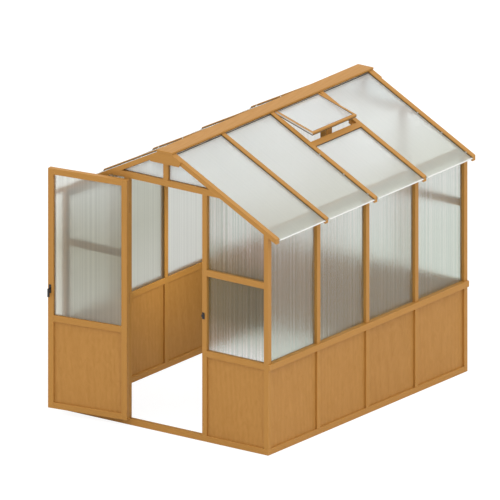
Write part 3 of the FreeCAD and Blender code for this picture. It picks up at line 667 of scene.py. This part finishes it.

# %% [markdown]
# ## Twin-wall panes
#
# The panes are extruded sheet with two thin walls and upright ribs between them. All of them are the
# same sheet, but each wall gets its own finish, whose tint paints in the light and shade seen through
# it. Those of the roof and the gables are milky and painted bright, the door's is hazy, those of the
# left and rear walls are painted duller, and those of the front blur the least. Each kind is one row
# of a table: its tint from line to line, the colour of its stain, which is its painted shade, how
# clear it is, and how rough.

# %% Kinds of sheet
# Tints are painted light and shade for where each wall stands; each stain is the colour of its painted
# shade.
SHEET_KINDS = {
    "near_sheet": {
        "tints": ((0.83, 0.89, 0.875, 1), WHITE),
        "stain": (0.865, 0.925, 0.86, 1),
        "clear": 0.93,
        "rough": (0.19, 0.27),
    },
    "front_sheet": {
        "tints": ((0.80, 0.86, 0.83, 1), WHITE),
        "stain": (0.545, 0.58, 0.47, 1),
        "clear": 0.90,
        "rough": (0.12, 0.18),
    },
    "far_sheet": {
        "tints": ((0.73, 0.72, 0.69, 1), (0.81, 0.80, 0.77, 1)),
        "stain": WHITE,
        "clear": 0.95,
        "rough": (0.28, 0.36),
    },
    "left_sheet": {
        "tints": ((0.85, 0.87, 0.875, 1), (0.973, 0.993, 1, 1)),
        "stain": (0.57, 0.57, 0.49, 1),
        "clear": 0.95,
        "rough": (0.28, 0.36),
    },
    "door_sheet": {
        "tints": ((0.76, 0.77, 0.73, 1), (0.88, 0.89, 0.845, 1)),
        "stain": (0.69, 0.65, 0.55, 1),
        "clear": 0.78,
        "rough": (0.28, 0.34),
    },
    "roof_sheet": {
        "tints": ((0.94, 0.97, 0.965, 1), (0.975, 1, 0.995, 1)),
        "stain": (0.78, 0.78, 0.69, 1),
        "clear": 0.76,
        "rough": (0.30, 0.36),
    },
    "gable_sheet": {
        "tints": ((0.92, 0.96, 0.96, 1), (0.96, 1, 1, 1)),
        "stain": WHITE,
        "clear": 0.52,
        "rough": (0.30, 0.36),
    },
}
print(len(SHEET_KINDS), "kinds of sheet")

# %% [markdown]
# ## Finish of the panes
#
# Twin-wall sheet blurs what is behind it into fine upright lines. A clear glass with a bump would
# bend the view into noise. A rough see-through finish blurs it evenly, and lines of a slightly other
# tint and roughness stand for the ribs. A painted shade, the stain colour multiplied into the tint,
# darkens the sheet where the inside behind it lies in deeper shade.

# %% Pane finish
PANE_IOR = 1.33
LINE_FLUTES = 2.2
LINE_NOISE = {"Scale": 1 / LINE_FLUTES, "Detail": 1, "Roughness": 0.6}
STREAK_CONTRAST = {"From Min": 0.39, "From Max": 0.61}


def pane_finish(name, tints, stain, clear, rough):
    """Rough see-through sheet whose tint and roughness change a little across the flutes.

    One attribute counts flutes across the sheet, and smooth noise of that count gives lines about two
    flutes wide. Another says how much painted shade the sheet takes, and the stain colour, which is
    that painted shade, is multiplied in by that share.
    """
    finish = bpy.data.materials.new(name)
    tree = empty_tree(finish)
    count = add(tree, "Attribute", attribute_name="flute").outputs["Fac"]
    # The share of painted shade that this sheet takes, stored on its points.
    age = add(tree, "Attribute", attribute_name="age").outputs["Fac"]
    lines = add(tree, "TexNoise", {"W": count} | LINE_NOISE, noise_dimensions="1D").outputs["Fac"]
    uneven = add(tree, "MapRange", {"Value": lines} | STREAK_CONTRAST).outputs["Result"]
    # The stain colour is painted shade, multiplied into the tint by that share.
    tint = blend(tree, age, blend(tree, uneven, *tints), stain, how="MULTIPLY")
    blur = add(tree, "MapRange", {"Value": uneven, "To Min": rough[0], "To Max": rough[1]})
    surface = add(tree, "BsdfPrincipled", {
        "Base Color": tint,
        "Roughness": blur.outputs["Result"],
        "Transmission Weight": clear,
        "IOR": PANE_IOR,
    })
    add(tree, "OutputMaterial", {"Surface": surface.outputs[0]})
    return finish


SHEETS = {name: pane_finish(name, **kind) for name, kind in SHEET_KINDS.items()}
print("pane finishes", *SHEETS)

# %% [markdown]
# ## Shape of each sheet
#
# Each pane is a flat sheet cut to its opening, and those beside the roof have a slanted edge. Their
# corners could be typed in, but then a change of size would leave them behind. Here each sheet's own
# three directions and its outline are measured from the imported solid, and one set of functions serves
# every pane.

# %% Shape of each sheet
# Numbers of a sheet's own directions.
ACROSS, ALONG, OUT = range(3)


def sheet_shape(points):
    """Directions, outline and faces of one flat sheet, from its corners.

    The thinnest direction of the corners leads out of the sheet. The flutes run as steeply as the sheet
    allows, so that water drains from them, and the third direction runs across them. The outline is in
    the directions across and along.
    """
    out = np.linalg.svd(points - points.mean(axis=0), full_matrices=False)[2][-1]
    flute = UP - (UP @ out) * out
    flute /= np.linalg.norm(flute)
    axes = np.stack((np.cross(flute, out), flute, out))
    local = points @ axes.T
    faces = local[:, OUT].min(), local[:, OUT].max()
    flat = local[local[:, OUT] > np.mean(faces)][:, :OUT]
    spoke = flat - flat.mean(axis=0)
    outline = flat[np.argsort(np.arctan2(spoke[:, ALONG], spoke[:, ACROSS]))]
    return axes, outline, faces


def sheets_of(node):
    """The shape of each sheet in a CAD node."""
    points, faces = welded(node)
    edges = np.concatenate((faces[:, :2], faces[:, 1:]))
    label = islands(len(points), edges)
    return [sheet_shape(points[label == sheet]) for sheet in range(label.max() + 1)]


panes = [node for node, slot in SLOT_OF.items() if slot == "pane"]
shapes = {node: sheets_of(node) for node in panes}
print(sum(map(len, shapes.values())), "sheets in", len(panes), "nodes")

# %% [markdown]
# ## Painted shade on each sheet
#
# Seen through the sheets, the inside of the house lies in shade, deeper in some places than others.
# A painted shade darkens the roof towards the eaves, the door and the right wall lower down, the front
# along the transom on the right, and all over three sheets of the left wall, most of all the one that
# the open door leaf shades. Noise would put it anywhere. Three numbers for each sheet put it where the
# shade falls: how much painted shade the sheet takes at its foot, half way up and at its head, from 0
# for none to 1 for the whole of it.

# %% Painted shade on each sheet
# How much painted shade a sheet takes at its foot, half way up and at its head.
SHADE_STATIONS = (0, 0.5, 1)
NO_PAINTED_SHADE = (0, 0, 0)
ROOF_PAINTED_SHADE = (0.84, 0.20, 0)
DOOR_PAINTED_SHADE = (0.5, 0.9, 0)
WALL_PAINTED_SHADE = (1, 0.75, 0)
UNDER_TRANSOM_PAINTED_SHADE = (0, 0.9, 1)
OVER_TRANSOM_PAINTED_SHADE = (0.8, 0, 0)
DOORWAY_PAINTED_SHADE = (0.8, 1, 0.92)
BAY_PAINTED_SHADE = (0.6, 0.6, 0.6)
SLOPES = ("left_roof_panes", "right_roof_panes")
ROOFING = SLOPES + ("vent_bay_pane",)

# A wall's sheets come from front to rear, and the front's from left to right and from low to high.
PAINTED_SHADE_OF = {node: [ROOF_PAINTED_SHADE] * len(shapes[node]) for node in ROOFING}
PAINTED_SHADE_OF |= {
    "door_pane": [DOOR_PAINTED_SHADE],
    "left_wall_panes": [NO_PAINTED_SHADE, DOORWAY_PAINTED_SHADE, BAY_PAINTED_SHADE, BAY_PAINTED_SHADE],
    "right_wall_panes": [WALL_PAINTED_SHADE] * len(shapes["right_wall_panes"]),
    "front_wall_panes": [NO_PAINTED_SHADE, NO_PAINTED_SHADE, UNDER_TRANSOM_PAINTED_SHADE, OVER_TRANSOM_PAINTED_SHADE],
}
print("stained sheets in", *PAINTED_SHADE_OF)

# %% [markdown]
# ## Fluted sheets
#
# The walls of twin-wall sheet sink a little between the ribs, and the light catches that as fine
# lines. Two walls and all their ribs would cost thousands of faces that no one sees. One shell per
# sheet, with the sink marks modelled on both of its faces, gives the same look. It is a ring of
# points carried across the sheet, and the count of flutes and the share of painted shade go with it
# for the finish to read.

# %% Fluted sheets
FLUTE_PITCH = 9.5 * MM
FLUTE_STEPS = 4
FLUTE_SINK = 0.25 * MM
# Flutes between the counts of two sheets, so that their lines differ.
COUNT_STEP = 1000
SHEET_OF = dict.fromkeys(ROOFING, "roof_sheet") | {
    "vent_pane": "roof_sheet",
    "gable_panes": "gable_sheet",
    "door_pane": "door_sheet",
    "left_wall_panes": "left_sheet",
    "right_wall_panes": "near_sheet",
    "rear_wall_panes": "far_sheet",
    "front_wall_panes": "front_sheet",
}


def reach(outline, stations):
    """Lowest and highest point of a convex outline at each station across it.

    Every chord between two corners lies within the outline, so its edge is the lowest or highest chord.
    """
    one, other = np.triu_indices(len(outline), 1)
    start, end = outline[one], outline[other]
    sloped = np.abs(end[:, 0] - start[:, 0]) > TOUCH
    start, end = start[sloped], end[sloped]
    share = (stations[:, None] - start[:, 0]) / (end[:, 0] - start[:, 0])
    height = start[:, 1] + share * (end[:, 1] - start[:, 1])
    on = (share > -TOUCH) & (share < 1 + TOUCH)
    return np.where(on, height, np.inf).min(axis=1), np.where(on, height, -np.inf).max(axis=1)


def fluted(shape):
    """One sheet as a ring carried across it, with the count of flutes and the share of its height.

    The ring has a point on each face at each station of painted shade. The walls sink between the ribs
    as a
    raised cosine: nothing at a rib and the whole sink half way to the next.
    """
    axes, outline, (back, front) = shape
    low, high = outline[:, 0].min(), outline[:, 0].max()
    flutes = round((high - low) / FLUTE_PITCH)
    across = np.linspace(low, high, flutes * FLUTE_STEPS + 1)
    count = (across - low) / (high - low) * flutes
    sink = FLUTE_SINK * (1 - np.cos(2 * np.pi * count)) / 2
    foot, head = reach(outline, across)
    ring = [(share, front - sink) for share in SHADE_STATIONS]
    ring += [(share, back + sink) for share in SHADE_STATIONS[::-1]]
    local = [np.stack((across, foot + share * (head - foot), level), axis=-1) for share, level in ring]
    shares = np.tile([share for share, level in ring], len(across))
    return tube(np.stack(local, axis=1) @ axes), np.repeat(count, len(ring)), shares


for node in panes:
    shells, counts, shares = zip(*map(fluted, shapes[node]))
    counts = [count + COUNT_STEP * number for number, count in enumerate(counts)]
    painted_shades = PAINTED_SHADE_OF.get(node, [NO_PAINTED_SHADE] * len(shells))
    painted_shades = [np.interp(share, SHADE_STATIONS, age) for share, age in zip(shares, painted_shades)]
    values = {"flute": np.concatenate(counts), "age": np.concatenate(painted_shades)}
    mesh = make_mesh(f"{node}_fluted", *together(shells), SHEETS[SHEET_OF[node]], values)
    piece = show(mesh, BODY_OF[node])
    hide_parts(node)
    print(node, len(shells), "sheets,", len(mesh.vertices), "points")

# %% [markdown]
# ## Metal fittings
#
# The hinges are bronzed steel, and the handle and its keeper are black. Scratches and prints could be
# added, but the pieces are too small to show them. A plain coat with a little unevenness in its
# roughness is enough, and the same recipe serves the rubber, plastic and coated steel of the trim.

# %% Metal finishes
MOTTLE = {"Scale": 220, "Detail": 3}
FITTING_EASE = 0.4 * MM


def coat_finish(name, colour, metallic, roughness):
    """A coat whose roughness goes from one value to another on a scale of a few millimetres."""
    finish = bpy.data.materials.new(name)
    tree = empty_tree(finish)
    place = add(tree, "TexCoord").outputs["Object"]
    mottle = add(tree, "TexNoise", {"Vector": place} | MOTTLE).outputs["Fac"]
    rough = add(tree, "MapRange", {"Value": mottle, "To Min": roughness[0], "To Max": roughness[1]})
    surface = add(tree, "BsdfPrincipled", {
        "Base Color": colour,
        "Metallic": metallic,
        "Roughness": rough.outputs["Result"],
    })
    add(tree, "OutputMaterial", {"Surface": surface.outputs[0]})
    return finish


BRONZE = coat_finish("bronzed_steel", (0.42, 0.21, 0.07, 1), metallic=1, roughness=(0.4, 0.6))
BLACK = coat_finish("black_coat", (0.012, 0.012, 0.014, 1), metallic=0, roughness=(0.3, 0.5))
fittings = {"hinge_steel": BRONZE, "black_hardware": BLACK}
for node, slot in SLOT_OF.items():
    if slot in fittings:
        eased(node, (fittings[slot],), FITTING_EASE)
print("fittings:", BRONZE.name, BLACK.name)

# %% [markdown]
# ## Glazing beads
#
# A dark rubber bead closes the joint between wood and pane on the weather side of the roof, the
# gables and the vent. Its near-black colour also stands for the shade in that joint, so it shows as a
# thin dark line of painted shade along the rafters, under the ridge board and round the gable panes.
# A dark stripe in the finish of the pane would look painted on. The bead is a quarter of an ellipse
# that follows the pane's outline with mitred corners. A roof pane's lower edge hangs free, so its bead
# leaves that edge out. The weather side is the one away from the middle of the house.

# %% Beads
ROOF_BEAD = (4.2 * MM, 4 * MM)
SLIM_BEAD = (3 * MM, 2.2 * MM)
BEAD_STEPS = 4
PANE_GROOVE = 7.8 * MM
VENT_GROOVE = 5.8 * MM


def mitres(outline):
    """Inward direction at each corner, long enough to move both its edges in by one unit.

    It is the sum of the two edges' inward normals, divided by one plus their scalar product. The
    normals are given too, first those of the edges before the corners.
    """
    edge = np.roll(outline, -1, axis=0) - outline
    edge /= np.linalg.norm(edge, axis=1, keepdims=True)
    after = np.stack((-edge[:, 1], edge[:, 0]), axis=-1)
    before = np.roll(after, 1, axis=0)
    return (before + after) / (1 + (before * after).sum(axis=1, keepdims=True)), before, after


def bead(shape, inset, size, side, open_foot):
    """A bead on one side of a sheet: a quarter of an ellipse carried along its outline."""
    axes, outline, faces = shape
    turn = np.linspace(0, np.pi / 2, BEAD_STEPS)
    inward = inset + size[0] * np.concatenate(([0], np.sin(turn)))
    proud = size[1] * np.concatenate(([0], np.cos(turn)))
    if open_foot:
        foot = np.argmin(outline[:, 1] + np.roll(outline[:, 1], -1))
        outline = np.roll(outline, -foot - 1, axis=0)
    corner, before, after = mitres(outline)
    if open_foot:
        corner[0], corner[-1] = after[0], before[-1]
    flat = outline[:, None] + inward[None, :, None] * corner[:, None]
    level = faces[1] + proud if side > 0 else faces[0] - proud
    local = np.dstack((flat, np.broadcast_to(level, flat.shape[:2])))
    if open_foot:
        return tube(local @ axes)
    ring = np.concatenate((local, local[:1])) @ axes
    return ring.reshape(-1, 3), grid_faces(*ring.shape[:2])


def weather_side(shape):
    """1 where a sheet's out direction leads away from the middle of the house, and else -1."""
    axes, outline, faces = shape
    place = np.append(outline.mean(axis=0), np.mean(faces)) @ axes
    return np.sign((place - np.mean(CAD_BOX, axis=0)) @ axes[OUT])


# Near-black rubber for the beads and vent seals; its dark colour also paints the shade in those joints.
RUBBER_AND_PAINTED_SHADE = coat_finish("dark_rubber_and_painted_shade", (0.050, 0.043, 0.028, 1), metallic=0, roughness=(0.6, 0.85))
beaded = [node for node in panes if SHEET_OF[node] in ("roof_sheet", "gable_sheet")]
for node in beaded:
    open_foot = node in ROOFING
    inset = VENT_GROOVE if node == "vent_pane" else PANE_GROOVE
    size = ROOF_BEAD if open_foot else SLIM_BEAD
    shells = [bead(shape, inset, size, weather_side(shape), open_foot) for shape in shapes[node]]
    mesh = make_mesh(f"{node}_beads", *together(shells), RUBBER_AND_PAINTED_SHADE)
    show(mesh, BODY_OF[node])
print("beads on", *beaded)

# %% [markdown]
# ## Edge caps of the roof panes
#
# The open flutes at the eaves are closed with a white channel, which keeps dirt out and catches the
# light as a bright line. A box pushed over the edge would run into the sheet. The channel's section
# is a U with a chamfered nose, carried along the pane's lower edge between two rafters.

# %% Edge caps
CAP_DEPTH = 7 * MM
CAP_WALL = 1.4 * MM
CAP_NOSE = 2 * MM


def carried(profile, span, along, axes):
    """A closed profile carried along one of a sheet's three directions, from end to end of a span."""
    others = [direction for direction in (ACROSS, ALONG, OUT) if direction != along]
    local = np.empty((2, len(profile), 3))
    local[:, :, others] = profile
    local[:, :, along] = np.reshape(span, (2, 1))
    return tube(local @ axes)


def edge_cap(shape):
    """A U-shaped channel on the lower edge of a roof sheet: down and up outside, then back inside."""
    axes, outline, (back, front) = shape
    foot = outline[:, 1].min()
    top, nose = foot + CAP_DEPTH, foot - CAP_NOSE
    outer = [(top, front + CAP_WALL), (foot, front + CAP_WALL), (nose, front)]
    outer += [(nose, back), (foot, back - CAP_WALL), (top, back - CAP_WALL)]
    inner = [(top, back), (foot, back), (foot, front), (top, front)]
    span = outline[:, 0].min() + PANE_GROOVE, outline[:, 0].max() - PANE_GROOVE
    return carried(np.array(outer + inner), span, ACROSS, axes)


WHITE_PLASTIC = coat_finish("white_plastic", (0.74, 0.74, 0.71, 1), metallic=0, roughness=(0.35, 0.55))
for node in ROOFING:
    caps = [edge_cap(shape) for shape in shapes[node]]
    mesh = make_mesh(f"{node}_caps", *together(caps), WHITE_PLASTIC)
    show(mesh, "frame")
    print(node, len(caps), "edge caps")

# %% [markdown]
# ## Pane clips
#
# Small bent clips on two rafters of each slope hold the roof panes down. Each is a strip of coated
# steel with one leg on the side of the rafter, a slanted part over the bead and a foot on the pane.
# Three plates would leave seams at the bends, so it is one profile carried a short way.

# %% Pane clips
CLIP_PROFILE = np.array((
    (0, 10), (1.2, 10), (1.2, 6.2), (6.4, 1.4), (13, 1.4), (13, 0.1), (6, 0.1), (0, 5.4),
)) * MM
CLIP_LENGTH = 11 * MM
CLIP_SHARES = (0.06, 0.29, 0.52)
CLIP_BAYS = (1, 3)
BAY = 0.6


def pane_clips(shape):
    """Clips along the rear edge of a roof sheet, at given shares of its length from the eaves."""
    axes, outline, faces = shape
    rearward = np.sign(axes[ACROSS, 1])
    skyward = np.sign(axes[OUT, 2])
    edge = (outline[:, 0] * rearward).max() * rearward - rearward * PANE_GROOVE
    level = faces[1] if skyward > 0 else faces[0]
    sideways, rise = CLIP_PROFILE.T
    profile = np.stack((edge - rearward * sideways, level + skyward * rise), axis=-1)
    foot, head = outline[:, 1].min(), outline[:, 1].max()
    starts = foot + np.array(CLIP_SHARES) * (head - foot)
    return [carried(profile, (start, start + CLIP_LENGTH), ALONG, axes) for start in starts]


ZINC = coat_finish("zinc_coat", (0.62, 0.59, 0.53, 1), metallic=1, roughness=(0.4, 0.6))
for node in SLOPES:
    clips = []
    for shape in shapes[node]:
        axes, outline, faces = shape
        middle = outline.mean(axis=0) @ axes[:OUT]
        if int(middle[1] / BAY) in CLIP_BAYS:
            clips += pane_clips(shape)
    mesh = make_mesh(f"{node}_clips", *together(clips), ZINC)
    show(mesh, "frame")
    print(node, len(clips), "clips")

# %% [markdown]
# ## Edges of the roof vent
#
# The vent leaf has a pale strip along its sides and a dark seal below it, which lands on the opening
# when the vent is shut, and whose dark colour also stands for the shade under the leaf. Square strips
# would look like more wood. Both are thin extrusions with a section of half an ellipse, flat for the
# strip and fuller for the seal.

# %% Vent edges
STRIP = {"wide": 11 * MM, "thick": 1.2 * MM, "below": 2.5 * MM}
SEAL = {"wide": 5.5 * MM, "thick": 2.5 * MM}
BULB_STEPS = 7


def half_round(base, outward, start, width, thick):
    """Section of a strip on a face: half an ellipse, outward from the base and as wide as the strip."""
    turn = np.linspace(0, np.pi, BULB_STEPS)
    rise = base + outward * thick * np.sin(turn)
    return np.stack((rise, start + width * (1 - np.cos(turn)) / 2), axis=-1)


vent_axes = shapes["vent_pane"][0][0]
rails = [welded(node)[0] for node in ("vent_side_rails", "vent_bottom_rail")]
rails = np.concatenate(rails) @ vent_axes.T
low, high = rails.min(axis=0), rails.max(axis=0)
out_up = vent_axes[OUT] @ UP > 0
top, bottom = (high[OUT], low[OUT]) if out_up else (low[OUT], high[OUT])
down = -1 if out_up else 1
strip_start = top + down * STRIP["below"]
seal_start = bottom - down * SEAL["wide"]

strips = []
seals = []
for base, outward in ((low[ACROSS], -1), (high[ACROSS], 1)):
    pale = half_round(base, outward, strip_start, down * STRIP["wide"], STRIP["thick"])
    dark = half_round(base, outward, seal_start, down * SEAL["wide"], SEAL["thick"])
    strips.append(carried(pale, (low[ALONG], high[ALONG]), ALONG, vent_axes))
    seals.append(carried(dark, (low[ALONG], high[ALONG]), ALONG, vent_axes))
foot_seal = half_round(low[ALONG], -1, seal_start, down * SEAL["wide"], SEAL["thick"])
seals.append(carried(foot_seal, (low[ACROSS], high[ACROSS]), ACROSS, vent_axes))
show(make_mesh("vent_edge_strips", *together(strips), WHITE_PLASTIC), "vent")
show(make_mesh("vent_seals", *together(seals), RUBBER_AND_PAINTED_SHADE), "vent")
print("vent edges:", len(strips), "strips,", len(seals), "seals")
